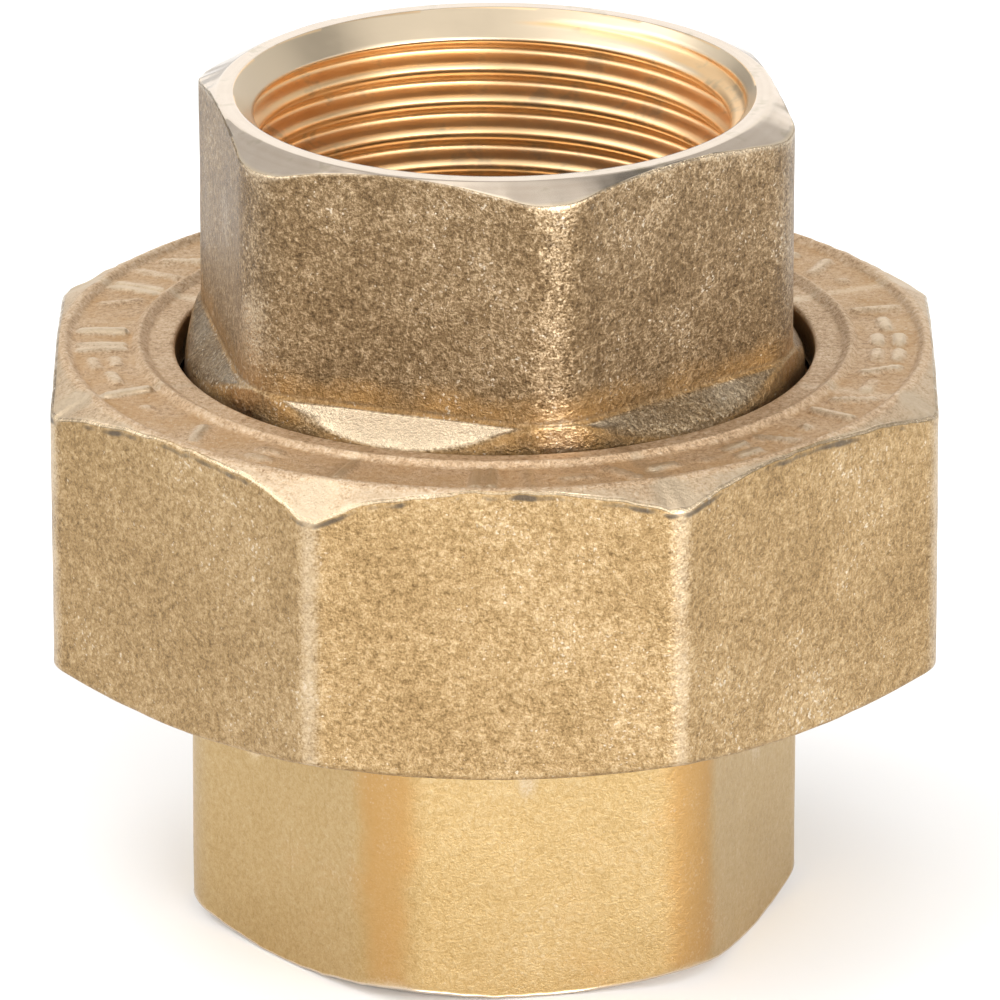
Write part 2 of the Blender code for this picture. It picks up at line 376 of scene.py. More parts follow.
@dataclass(frozen=True)
class MouldedRubber:
    """Matt black sealing rubber with a faint bloom."""

    name: str
    black: Colour = (0.018, 0.018, 0.019)
    bloomed: Colour = (0.06, 0.06, 0.062)
    bloom: float = 1.6 * MM
    most_bloom: float = 0.6
    skin: float = 0.12 * MM
    skin_depth: float = 0.01 * MM
    roughness: float = 0.55

    def material(self) -> bpy.types.Material:
        """Builds the material."""
        made, graph = new_material(self.name)
        spot = graph.place()
        bloom = graph.noise(spot, self.bloom, detail=3.0, roughness=0.6)
        skin = graph.noise(spot, self.skin, roughness=0.6)
        amount = bloom.rising(0.4, 0.75) * self.most_bloom
        graph.surface(
            Base_Color=graph.mix(amount, self.black, self.bloomed),
            Roughness=(self.roughness + bloom.swing(0.2) + skin.swing(0.1)).held(),
            Metallic=0.0,
            Normal=graph.bump(skin, self.skin_depth),
        )
        return made


class Finish(Enum):
    """Every finish on the union."""

    UPPER_CAST = SandCastBrass(
        "upper sand-cast brass",
        dark=(0.085, 0.052, 0.026),
        body=(0.228, 0.150, 0.076),
        light=(0.560, 0.420, 0.260),
        contrast=1.30,
        grain_depth=0.150 * MM,
        roughness=0.37,
        specks=0.9,
    )
    NUT_CAST = SandCastBrass(
        "nut sand-cast brass",
        dark=(0.150, 0.088, 0.036),
        body=(0.372, 0.245, 0.112),
        light=(0.640, 0.475, 0.275),
        contrast=1.10,
        grain_depth=0.110 * MM,
        specks=0.8,
    )
    # The nut's chamfer and top face are the same cast brass as its sides, given a lighter colour:
    # painted light from above.
    NUT_FACE_PAINTED_LIGHTER = SandCastBrass(
        "nut face brass painted lighter",
        dark=(0.320, 0.200, 0.105),
        body=(0.610, 0.440, 0.280),
        light=(0.780, 0.650, 0.490),
        contrast=1.20,
        grain_depth=0.110 * MM,
        roughness=0.60,
    )
    LOWER_CAST = SandCastBrass(
        "lower satin brass",
        dark=(0.300, 0.180, 0.058),
        body=(0.470, 0.325, 0.145),
        light=(0.600, 0.470, 0.280),
        grain=0.12 * MM,
        grain_depth=0.042 * MM,
        contrast=0.65,
        roughness=0.38,
        specks=0.25,
    )
    TURNED = TurnedBrass("turned brass", bright=(0.66, 0.57, 0.47), shade=(0.52, 0.42, 0.32))
    THREAD = TurnedBrass(
        "cut thread brass",
        bright=(0.93, 0.67, 0.38),
        shade=(0.84, 0.54, 0.27),
        ring_depth=0.0006 * MM,
        roughness=0.33,
    )
    RUBBER = MouldedRubber("sealing rubber")


# ---------------------------------------------------------------------------------------------
# Surfaces round the axis
# ---------------------------------------------------------------------------------------------


LATTICE_CELLS = 32


def lattice_noise(places: np.ndarray, size: float, seed: int) -> np.ndarray:
    """Smooth noise from 0 to 1: random values on a cubic lattice, blended by smoothstep weights.

    Args:
        places: points, with x, y, z in the last axis.
        size: the lattice spacing.
        seed: picks the random values.

    Returns:
        One value per point.
    """
    count = LATTICE_CELLS
    table = np.random.default_rng(seed).random((count, count, count))
    scaled = places / size
    cell = np.floor(scaled).astype(int)
    part = step_between(scaled - cell, 0.0, 1.0)
    total = np.zeros(places.shape[:-1])
    for corner in np.ndindex(2, 2, 2):
        weight = np.prod(np.where(np.array(corner) == 1, part, 1.0 - part), axis=-1)
        index = (cell + corner) % count
        total += weight * table[index[..., 0], index[..., 1], index[..., 2]]
    return total


def step_between(value: Level, low: Level, high: Level) -> np.ndarray:
    """Smoothstep of an array: 0 at low, 1 at high."""
    part = np.clip((value - low) / (high - low), 0.0, 1.0)
    return part * part * (3.0 - 2.0 * part)


def bell(value: Level, middle: Level, width: float) -> np.ndarray:
    """1 at middle, falling on both sides as exp(-(distance / width)^2)."""
    return np.exp(-(((value - middle) / width) ** 2))


def turned_off(theta: np.ndarray, direction: float) -> np.ndarray:
    """Angle of each direction from a given one, between -pi and pi."""
    return np.mod(theta - direction + math.pi, math.tau) - math.pi


def blotches(
    places: np.ndarray, size: float, seed: int, low: float, high: float
) -> np.ndarray:
    """Patches from 0 to 1: lattice noise of that size, stepped between low and high."""
    return step_between(lattice_noise(places, size, seed), low, high)


@dataclass(frozen=True)
class RoundedPolygon:
    """Outline of a bar with flats and round corners; turn is the direction of one flat."""

    sides: int
    flats: float
    corner: float
    turn: float

    @property
    def half(self) -> float:
        """Half the angle that one side takes up."""
        return math.pi / self.sides

    def _touch(self, apothem: Level) -> Level:
        """Angle from a flat's middle to where its corner arc starts."""
        return np.arctan((apothem - self.corner) * math.tan(self.half) / apothem)

    def columns(self, flat_steps: int, corner_steps: int) -> np.ndarray:
        """Directions round the axis, spread evenly over each flat and each corner arc."""
        touch = float(self._touch(self.flats / 2))
        flat = np.linspace(-touch, touch, flat_steps, endpoint=False)
        arc = np.linspace(touch, 2 * self.half - touch, corner_steps, endpoint=False)
        one = np.concatenate([flat, arc])
        sides = 2 * self.half * np.arange(self.sides)
        return (self.turn + one[None, :] + sides[:, None]).ravel()

    def _off(self, theta: np.ndarray) -> np.ndarray:
        """Angle from the middle of the nearest flat."""
        return np.mod(theta - self.turn + self.half, 2 * self.half) - self.half

    def radius(self, theta: np.ndarray, growth: Level = 0.0) -> np.ndarray:
        """Distance from the axis to the outline.

        On a flat it is apothem / cos(u), with u the angle from the flat's middle. On a corner it
        solves the circle of the corner arc along the ray at that angle.

        Args:
            theta: directions round the axis.
            growth: how much further out than at rest every flat lies.

        Returns:
            One radius per direction.
        """
        apothem = self.flats / 2 + growth
        off = self._off(theta)
        reach = (apothem - self.corner) / math.cos(self.half)
        aside = self.half - np.abs(off)
        under_root = np.maximum(self.corner**2 - (reach * np.sin(aside)) ** 2, 0.0)
        arc = reach * np.cos(aside) + np.sqrt(under_root)
        return np.where(np.abs(off) > self._touch(apothem), arc, apothem / np.cos(off))

    def cornerness(self, theta: np.ndarray) -> np.ndarray:
        """1 in the middle of each corner, falling to 0 a little way onto the flats."""
        starts = float(self._touch(self.flats / 2)) * 0.92
        return step_between(np.abs(self._off(theta)), starts, self.half)


@dataclass(frozen=True)
class HelicalThread:
    """A right-hand thread with rounded crests and roots.

    Its radius is mean - swing * s(cos(phase)), where the phase runs one turn per pitch of height
    and falls one turn per turn round the axis. s(w) is tanh(land * w) / tanh(land), which makes
    crests and roots flatter the larger land is. start turns the whole thread, in turns.
    """

    pitch: float
    root: float
    crest: float
    land: float
    start: float = 0.085

    def radius(self, theta: np.ndarray, height: Level) -> np.ndarray:
        """Distance from the axis to the thread at each direction and height."""
        phase = 2 * math.pi * (height / self.pitch - self.start) - theta
        wave = np.tanh(np.cos(phase) * self.land) / math.tanh(self.land)
        return (self.root + self.crest) / 2 - (self.crest - self.root) / 2 * wave


class Side(IntEnum):
    """Which way a thread faces, and so how its lead-in cones cut it."""

    OUTER = 1
    BORE = -1


@dataclass
class Station:
    """One ring that an outline passes through, and what lies between it and the next one."""

    radius: Level
    height: Level
    slot: int = 0
    rows: int = 1
    fillet: float = 0.0


@dataclass(frozen=True)
class Lumps:
    """Unevenness of a cast skin: lumps about size across and up to depth deep."""

    size: float
    depth: float
    seed: int


@dataclass
class Strip:
    """Rows of points round the axis, with a material slot for the band after each row.

    Wear, grime and stain run from 0 to 1 and are read by the materials. Wear also carries a painted
    highlight, and grime also carries painted shade, in some places. The last column meets the first
    one climb rows on.
    """

    radius: np.ndarray
    height: np.ndarray
    slots: np.ndarray
    climb: int = 0
    wear_and_highlight: np.ndarray = field(init=False)
    grime_and_shade: np.ndarray = field(init=False)
    stain: np.ndarray = field(init=False)

    def __post_init__(self) -> None:
        """Starts clean and unworn."""
        self.wear_and_highlight = np.zeros_like(self.radius)
        self.grime_and_shade = np.zeros_like(self.radius)
        self.stain = np.zeros_like(self.radius)

    def touching(self, *slots: int) -> np.ndarray:
        """Column of 1 for the rows beside a band of those slots, and 0 for the others."""
        match = np.isin(self.slots, slots)
        near = np.zeros(len(self.radius), bool)
        near[:-1] |= match
        near[1:] |= match
        return near[:, None].astype(float)

    def places(self, theta: np.ndarray) -> np.ndarray:
        """Every point as x, y, z."""
        across, along = self.radius * np.cos(theta), self.radius * np.sin(theta)
        return np.stack([across, along, self.height], axis=-1)

    def sink(self, theta: np.ndarray, lumps: tuple[Lumps, ...], *slots: int) -> None:
        """Draws the rows of some slots towards the axis, by depth times noise for each lumps."""
        for each in lumps:
            noise = lattice_noise(self.places(theta), each.size, each.seed)
            self.radius -= each.depth * noise * self.touching(*slots)


def outline_strip(theta: np.ndarray, stations: list[Station]) -> Strip:
    """Carries an outline of straight runs and rounded corners round the axis.

    A run is straight between two stations. A corner with a fillet is the curve
    (1-t)^2 A + 2t(1-t) P + t^2 B, where A and B lie a fillet's length before and after P.

    Args:
        theta: directions round the axis.
        stations: the rings of the outline, in order.

    Returns:
        The rows of the outline.
    """
    ring = np.ones_like(theta)
    points = [np.stack([s.radius * ring, s.height * ring], axis=-1) for s in stations]
    rows, slots = [], []
    leave = points[0]
    for number, (station, here) in enumerate(zip(stations, points)):
        curve = here[None]
        if station.fillet and 0 < number < len(points) - 1:
            ways = [points[number - 1] - here, points[number + 1] - here]
            lengths = [np.linalg.norm(way, axis=-1, keepdims=True) for way in ways]
            spans = [np.maximum(length, TINY) for length in lengths]
            reach = np.minimum(station.fillet, MOST_FILLET * np.minimum(*spans))
            enter, exit_ = (here + way / span * reach for way, span in zip(ways, spans))
            t = np.linspace(0.0, 1.0, FILLET_ROWS)[:, None, None]
            curve = (1 - t) ** 2 * enter + 2 * t * (1 - t) * here + t**2 * exit_
        if number:
            previous = stations[number - 1]
            span = float(np.linalg.norm(curve[0] - leave, axis=-1).mean())
            support = min(MOST_SUPPORT, SUPPORT / max(span, TINY))
            inner = np.linspace(0, 1, previous.rows + 1)[1:-1]
            inner = inner[(inner > support) & (inner < 1 - support)]
            for part in np.concatenate([[support], inner, [1 - support]]):
                rows.append(leave * (1 - part) + curve[0] * part)
                slots.append(previous.slot)
        for step, row in enumerate(curve):
            rows.append(row)
            last = step == len(curve) - 1
            slots.append(station.slot if last or not number else stations[number - 1].slot)
        leave = curve[-1]
    grid = np.array(rows)
    return Strip(grid[..., 0], grid[..., 1], np.array(slots[:-1]))


def thread_strip(
    theta: np.ndarray,
    thread: HelicalThread,
    span: tuple[float, float],
    cones: list[tuple[float, float, float]],
    side: Side,
    slot: int,
    rows_per_pitch: int,
) -> Strip:
    """Rows that climb one pitch per turn with the thread, held between two heights.

    Height is start + row * pitch / rows_per_pitch + pitch * theta / tau, clipped to the span. The
    radius is the thread's, cut by cones of radius + slope * (height - at): the smaller of them on
    an outer thread and the larger in a bore.

    Args:
        theta: directions round the axis, rising over less than one turn.
        thread: the thread.
        span: lowest and highest height.
        cones: (radius, at, slope) of each lead-in.
        side: outer thread or bore.
        slot: material slot.
        rows_per_pitch: rows in one pitch.

    Returns:
        The rows, upwards for an outer thread and downwards for a bore.
    """
    low, high = span
    step = thread.pitch / rows_per_pitch
    count = int(math.ceil((high - low) / step)) + 2 * rows_per_pitch + 1
    base = low - thread.pitch + step * np.arange(count)
    climb = thread.pitch * (theta - theta[0]) / math.tau
    height = np.clip(base[:, None] + climb[None, :], low, high)
    radius = thread_edge(theta[None, :], height, thread, cones, side)
    turn = rows_per_pitch
    if side is Side.BORE:
        radius, height, turn = radius[::-1], height[::-1], -rows_per_pitch
    return Strip(radius, height, np.full(count - 1, slot), turn)


def thread_edge(
    theta: np.ndarray,
    height: Level,
    thread: HelicalThread,
    cones: list[tuple[float, float, float]],
    side: Side,
) -> np.ndarray:
    """Radius of a thread cut by its lead-in cones, as in thread_strip."""
    radius = thread.radius(theta, height)
    for cone_radius, at, slope in cones:
        cone = cone_radius + slope * (height - at)
        radius = np.minimum(radius, cone) if side is Side.OUTER else np.maximum(radius, cone)
    return radius


def ring_object(
    name: str, theta: np.ndarray, strips: list[Strip], finishes: list[Finish]
) -> bpy.types.Object:
    """Joins strips into one closed mesh.

    Point (row, column) lies at (r cos, r sin, z). Each face spans two rows and two columns, and the
    last column meets the first one climb rows on. Equal points are then made one, and a face that
    loses a corner becomes a triangle or goes.

    Args:
        name: name of the object.
        theta: directions round the axis.
        strips: the rows, in order round the section with the solid on their left.
        finishes: material of each slot.

    Returns:
        The object, at the origin.
    """
    count = len(theta)
    points, faces, slots = [], [], []
    painted = {"wear_and_highlight": [], "grime_and_shade": [], "stain": []}
    offset = 0
    for strip in strips:
        rows = len(strip.radius)
        points.append(strip.places(theta).reshape(-1, 3))
        for label, values in painted.items():
            values.append(getattr(strip, label).ravel())
        row, column = np.meshgrid(np.arange(rows - 1), np.arange(count), indexing="ij")
        after = (column + 1) % count
        jump = np.where(column == count - 1, strip.climb, 0)
        low = np.clip(row + jump, 0, rows - 1)
        high = np.clip(row + 1 + jump, 0, rows - 1)
        corners = [
            row * count + column,
            low * count + after,
            high * count + after,
            (row + 1) * count + column,
        ]
        faces.append(np.stack(corners, axis=-1).reshape(-1, 4) + offset)
        slots.append(np.repeat(strip.slots, count))
        offset += rows * count
    places = np.concatenate(points)
    cells = np.round(places / SAME_PLACE).astype(np.int64)
    _, first, index = np.unique(cells, axis=0, return_index=True, return_inverse=True)
    quads = index.reshape(-1)[np.concatenate(faces)]
    slot = np.concatenate(slots)
    fresh = quads != np.roll(quads, 1, axis=1)
    sizes = fresh.sum(axis=1)
    whole = sizes >= 3
    quads, fresh, sizes, slot = quads[whole], fresh[whole], sizes[whole], slot[whole]
    mesh = bpy.data.meshes.new(name)
    mesh.vertices.add(len(first))
    mesh.vertices.foreach_set("co", places[first].astype(np.float32).ravel())
    mesh.loops.add(int(sizes.sum()))
    mesh.loops.foreach_set("vertex_index", quads[fresh].astype(np.int32))
    mesh.polygons.add(len(sizes))
    starts = np.concatenate([[0], np.cumsum(sizes)[:-1]]).astype(np.int32)
    mesh.polygons.foreach_set("loop_start", starts)
    mesh.polygons.foreach_set("material_index", slot.astype(np.int32))
    mesh.update(calc_edges=True)
    for label, values in painted.items():
        layer = mesh.attributes.new(label, "FLOAT", "POINT")
        layer.data.foreach_set("value", np.concatenate(values)[first].astype(np.float32))
    for finish in finishes:
        mesh.materials.append(MATERIALS[finish])
    mesh.shade_smooth()
    made = bpy.data.objects.new(name, mesh)
    bpy.context.scene.collection.objects.link(made)
    return made


# ---------------------------------------------------------------------------------------------
# Pieces
# ---------------------------------------------------------------------------------------------


class Zone(IntEnum):
    """How a stretch of surface was made; the number is its place in a piece's list of finishes."""

    CAST = 0
    TURNED = 1
    THREADED = 2
    FACE = 3


HALVINGS = 30


def growth_to(outline: RoundedPolygon, theta: np.ndarray, radius: float) -> np.ndarray:
    """How far each flat has to move out for the outline to reach a radius, found by halving."""
    low = np.zeros_like(theta)
    high = np.full_like(theta, radius)
    for _ in range(HALVINGS):
        middle = (low + high) / 2
        short = outline.radius(theta, middle) < radius
        low = np.where(short, middle, low)
        high = np.where(short, high, middle)
    return low


def circle_noise(theta: np.ndarray, size: float, seed: int) -> np.ndarray:
    """Noise round a circle of radius 1, from -1 to 1; size is an angle."""
    ring = np.stack([np.cos(theta), np.sin(theta), np.zeros_like(theta)], axis=-1)
    return 2 * lattice_noise(ring, size, seed) - 1


@dataclass(frozen=True)
class Wobble:
    """Noise round the axis: swing is the most that it adds, size its angle across."""

    swing: float
    size: float
    seed: int

    def at(self, theta: np.ndarray) -> np.ndarray:
        """Its value in every direction."""
        return self.swing * circle_noise(theta, self.size, self.seed)


@dataclass
class SocketThread:
    """The pipe thread of both ends, with its countersunk mouth and the waterway behind it.

    Depths are measured from the end's face; step is the length of the cone behind the thread.
    """

    thread: HelicalThread = HelicalThread(1.814 * MM, 12.30 * MM, 13.22 * MM, land=0.9)
    depth: float = 12.6 * MM
    mouth: float = 13.7 * MM
    waterway: float = 11.4 * MM
    step: float = 1.0 * MM
    rows_per_pitch: int = 14
    polish: tuple[float, float] = (0.01 * MM, 0.06 * MM)

    def strip(self, theta: np.ndarray, face: float, inward: float) -> Strip:
        """The threaded wall, from the face at that height to the thread's inner end.

        The wear is 1 on the countersink, which is polished, and 0 on the thread.

        Args:
            theta: directions round the axis.
            face: height of the end's face.
            inward: -1 where the bore runs down from the face, 1 where it runs up.

        Returns:
            The rows, downwards.
        """
        end = face + inward * self.depth
        strip = thread_strip(
            theta,
            self.thread,
            (min(face, end), max(face, end)),
            self.cones(face, inward),
            Side.BORE,
            Zone.THREADED,
            self.rows_per_pitch,
        )
        cone = self.mouth - np.abs(strip.height - face)
        strip.wear_and_highlight = 1 - step_between(strip.radius - cone, *self.polish)
        return strip

    def cones(self, face: float, inward: float) -> list[tuple[float, float, float]]:
        """The countersink, which narrows by as much as it deepens."""
        return [(self.mouth, face, -inward)]

    def inner_edge(self, theta: np.ndarray, face: float, inward: float) -> Station:
        """The ring where the thread ends."""
        height = face + inward * self.depth
        radius = thread_edge(theta, height, self.thread, self.cones(face, inward), Side.BORE)
        return Station(radius, height, Zone.THREADED, 2)


@dataclass
class HexagonEnd:
    """What both ends share: a hexagon bar with a turned face, its chamfer and a pipe socket."""

    outline: RoundedPolygon
    ragged: tuple[Wobble, ...]
    socket: SocketThread = field(default_factory=SocketThread)
    face_radius: float = 14.5 * MM
    chamfer: float = math.radians(26.0)
    least_chamfer: float = 0.05 * MM
    flat_steps: int = 44
    corner_steps: int = 20
    finishes: tuple[Finish, ...] = (Finish.UPPER_CAST, Finish.TURNED, Finish.THREAD)

    def directions(self) -> np.ndarray:
        """Directions of the mesh's columns."""
        return self.outline.columns(self.flat_steps, self.corner_steps)

    def chamfer_depth(self, theta: np.ndarray) -> np.ndarray:
        """How far from the face the chamfer meets the hexagon, ragged as on a cut casting."""
        drop = (self.outline.radius(theta) - self.face_radius) * math.tan(self.chamfer)
        ragged = sum(wobble.at(theta) for wobble in self.ragged)
        return np.maximum(drop + ragged, self.least_chamfer)


@dataclass
class UpperEnd(HexagonEnd):
    """The half with the round neck: hexagon, sloped ledges, neck and the flange inside the nut.

    Below the height ledge the hexagon shrinks by as much as it falls, down to the neck, which
    makes the ledges.
    """

    outline: RoundedPolygon = RoundedPolygon(6, 29.4 * MM, 4.4 * MM, math.radians(-109.2))
    ragged: tuple[Wobble, ...] = (Wobble(0.045 * MM, 0.05, 3), Wobble(0.07 * MM, 0.31, 4))
    skin: tuple[Lumps, ...] = (Lumps(3.1 * MM, 0.05 * MM, 11), Lumps(0.9 * MM, 0.02 * MM, 12))
    ledge: float = 32.65 * MM
    neck: float = 16.4 * MM
    flange: float = 19.1 * MM
    flange_thickness: float = 2.6 * MM
    fine_rows_above_ledge: float = 1.0 * MM
    fine_rows_below_edge: float = 0.8 * MM
    edge_wear: float = 0.15 * MM
    edge_shine: float = 0.6
    corner_shine: float = 0.38
    ledge_shine: float = 0.32
    # Painted highlight: extra bare brass on the front ledge, the one facing the camera.
    front_ledge_highlight: float = 0.60
    pool: float = 4.5 * MM
    pool_seed: int = 13
    pool_shine: float = 0.35
    stain_reach: float = 3.4 * MM
    foot_stain: float = 0.64
    # Painted shade: a dark line along the crease over the ledges, and darkening of all below the
    # ledges, inside the nut.
    crease: float = 0.12 * MM
    crease_width: float = 0.22 * MM
    crease_shade: float = 0.55
    below_ledge_shade: float = 0.85

    def build(self) -> bpy.types.Object:
        """Makes the piece."""
        low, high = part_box("upper_end")
        top, base = high.z, low.z
        flange_top = base + self.flange_thickness
        theta = self.directions()
        bar = self.outline.radius(theta)
        edge = top - self.chamfer_depth(theta)
        ledge_foot = self.ledge - growth_to(self.outline, theta, self.neck)
        thread_end = top - self.socket.depth - self.socket.step
        rows_above, rows_below = self.fine_rows_above_ledge, self.fine_rows_below_edge
        outline = outline_strip(
            theta,
            [
                self.socket.inner_edge(theta, top, -1),
                Station(self.socket.waterway, thread_end, Zone.TURNED, 4, 0.2 * MM),
                Station(self.socket.waterway, base, Zone.TURNED, 3, 0.3 * MM),
                Station(self.flange, base, Zone.TURNED, 2, 0.4 * MM),
                Station(self.flange, flange_top, Zone.TURNED, 2, 0.2 * MM),
                Station(self.neck, flange_top, Zone.CAST, 5, 0.3 * MM),
                Station(self.neck, ledge_foot, Zone.CAST, 4, 0.8 * MM),
                Station(bar, self.ledge, Zone.CAST, 8, 0.12 * MM),
                Station(bar, self.ledge + rows_above, Zone.CAST, 12),
                Station(bar, edge - rows_below, Zone.CAST, 8),
                Station(bar, edge, Zone.TURNED, 5, 0.08 * MM),
                Station(self.face_radius, top, Zone.TURNED, 3, 0.1 * MM),
                Station(self.socket.mouth, top, Zone.THREADED),
            ],
        )
        outline.sink(theta, self.skin, Zone.CAST)
        self.age(outline, theta, edge, ledge_foot)
        thread = self.socket.strip(theta, top, -1)
        return ring_object("upper_end_brass", theta, [outline, thread], list(self.finishes))

    def age(
        self, strip: Strip, theta: np.ndarray, edge: np.ndarray, ledge_foot: np.ndarray
    ) -> None:
        """Wears, stains and paints shade and a highlight on the cast rows.

        Edges, corners and ledges are worn bright, and the front ledge, on the camera's side, gets a
        painted highlight on top of that. The foot of the hexagon is stained. Painted shade darkens
        the crease over the ledges and all that is below them.

        Args:
            strip: the rows, which are painted in place.
            theta: directions round the axis.
            edge: height where the chamfer meets the hexagon.
            ledge_foot: height where the ledges meet the neck.
        """
        cast = strip.touching(Zone.CAST)
        below_edge = np.maximum(edge[None, :] - strip.height, 0)
        corner = self.outline.cornerness(theta)[None, :]
        on_ledge = step_between(self.ledge - 0.1 * MM - strip.height, 0.0, 0.12 * MM)
        on_ledge = on_ledge * step_between(
            strip.height, ledge_foot + 0.1 * MM, ledge_foot + 0.3 * MM
        )
        # Painted highlight: the ledge facing the camera is brightened further on top of its wear.
        facing = np.maximum(np.cos(theta - self.outline.turn), 0)[None, :] ** 4
        ledge_wear_and_highlight = on_ledge * (self.ledge_shine + self.front_ledge_highlight * facing)
        pools = blotches(strip.places(theta), self.pool, self.pool_seed, 0.50, 0.90)
        edges = self.edge_shine * np.exp(-below_edge / self.edge_wear) + self.corner_shine * corner
        strip.wear_and_highlight = cast * np.clip(edges + ledge_wear_and_highlight + self.pool_shine * pools, 0, 1)
        foot = 1 - step_between(strip.height, self.ledge + 0.2 * MM, self.ledge + self.stain_reach)
        strip.stain = cast * self.foot_stain * foot * (1 - on_ledge)
        # Painted shade: the grime below the ledges and in the crease stands for shade, not for
        # dirt.
        shade_below_ledge = step_between(self.ledge - strip.height, 0.4 * MM, 2.6 * MM) * (1 - ledge_wear_and_highlight)
        crease = bell(strip.height, self.ledge + self.crease, self.crease_width)
        strip.grime_and_shade = cast * (self.below_ledge_shade * shade_below_ledge + self.crease_shade * crease)


@dataclass
class LowerEnd(HexagonEnd):
    """The half with the external union thread: hexagon, shoulder, threaded collar and flat seat.

    The shoulder is a cone through shoulder_start, given as (radius, height), and the groove.
    """

    outline: RoundedPolygon = RoundedPolygon(6, 29.4 * MM, 4.4 * MM, math.radians(-80.4))
    ragged: tuple[Wobble, ...] = (Wobble(0.04 * MM, 0.05, 23), Wobble(0.05 * MM, 0.31, 24))
    skin: tuple[Lumps, ...] = (Lumps(3.4 * MM, 0.045 * MM, 21), Lumps(1.0 * MM, 0.012 * MM, 22))
    finishes: tuple[Finish, ...] = (Finish.LOWER_CAST, Finish.TURNED, Finish.THREAD)
    thread: HelicalThread = HelicalThread(2.309 * MM, 19.356 * MM, 20.835 * MM, land=0.7)
    rows_per_pitch: int = 12
    shoulder_start: tuple[float, float] = (13.0 * MM, 12.6 * MM)
    shoulder_top: float = 16.0 * MM
    groove: float = 18.9 * MM
    groove_top: float = 16.6 * MM
    seat: float = 19.0 * MM
    fine_rows_above_edge: float = 0.8 * MM
    edge_wear: float = 0.22 * MM
    edge_shine: float = 0.8
    corner_shine: float = 0.30
    rub: float = 1.6 * MM
    rub_stretch: tuple[float, float, float] = (1.0, 1.0, 2.5)
    rub_seed: int = 25
    rub_heights: tuple[float, float] = (6.0 * MM, 13.0 * MM)
    rub_shine: float = 0.75
    pool: float = 5.5 * MM
    pool_seed: int = 26
    flat_stain: float = 0.25
    corner_stain: float = 0.55
    # Painted shade: the shoulder under the nut is darkened between these heights.
    shoulder_shade_heights: tuple[float, float] = (14.2 * MM, 16.4 * MM)
    shoulder_shade: float = 0.8

    def build(self) -> bpy.types.Object:
        """Makes the piece."""
        low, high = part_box("lower_end")
        face, top = low.z, high.z
        theta = self.directions()
        bar = self.outline.radius(theta)
        edge = face + self.chamfer_depth(theta)
        start_radius, start_height = self.shoulder_start
        slope = (self.shoulder_top - start_height) / (self.groove - start_radius)
        shoulder = start_height + (bar - start_radius) * slope
        thread_end = face + self.socket.depth + self.socket.step
        outside = outline_strip(
            theta,
            [
                Station(self.socket.mouth, face, Zone.TURNED, 3),
                Station(self.face_radius, face, Zone.TURNED, 5, 0.1 * MM),
                Station(bar, edge, Zone.CAST, 8, 0.1 * MM),
                Station(bar, edge + self.fine_rows_above_edge, Zone.CAST, 24),
                Station(bar, shoulder, Zone.CAST, 4, 0.5 * MM),
                Station(self.groove, self.shoulder_top, Zone.TURNED, 1, 0.15 * MM),
                Station(self.groove, self.groove_top, Zone.TURNED),
            ],
        )
        outside.sink(theta, self.skin, Zone.CAST)
        self.age(outside, theta, edge)
        inside = outline_strip(
            theta,
            [
                Station(self.seat, top, Zone.TURNED, 6),
                Station(self.socket.waterway, top, Zone.TURNED, 4, 0.3 * MM),
                Station(self.socket.waterway, thread_end, Zone.THREADED, 2, 0.2 * MM),
                self.socket.inner_edge(theta, face, 1),
            ],
        )
        collar = thread_strip(
            theta,
            self.thread,
            (self.groove_top, top),
            [(self.groove, self.groove_top, 1.0), (self.seat, top, -1.0)],
            Side.OUTER,
            Zone.TURNED,
            self.rows_per_pitch,
        )
        bore = self.socket.strip(theta, face, 1)
        strips = [outside, collar, inside, bore]
        return ring_object("lower_end_brass", theta, strips, list(self.finishes))

    def age(self, strip: Strip, theta: np.ndarray, edge: np.ndarray) -> None:
        """Wears, stains and paints shade on the cast rows.

        The edge and corners are worn, upright rubs lie under the nut, stains pool at the corners
        and painted shade darkens the shoulder under the nut.

        Args:
            strip: the rows, which are painted in place.
            theta: directions round the axis.
            edge: height where the chamfer meets the hexagon.
        """
        cast = strip.touching(Zone.CAST)
        places = strip.places(theta)
        above_edge = np.maximum(strip.height - edge[None, :], 0)
        corner = self.outline.cornerness(theta)[None, :]
        rubs = blotches(places / np.array(self.rub_stretch), self.rub, self.rub_seed, 0.62, 0.85)
        rubs = rubs * step_between(strip.height, *self.rub_heights)
        edges = self.edge_shine * np.exp(-above_edge / self.edge_wear) + self.corner_shine * corner
        strip.wear_and_highlight = cast * (edges + self.rub_shine * rubs)
        pools = blotches(places, self.pool, self.pool_seed, 0.35, 0.85)
        strip.stain = cast * (self.corner_stain * corner + self.flat_stain) * (0.45 + 0.9 * pools)
        # Painted shade: the grime on the shoulder stands for the shade under the nut.
        strip.grime_and_shade = cast * self.shoulder_shade * step_between(strip.height, *self.shoulder_shade_heights)


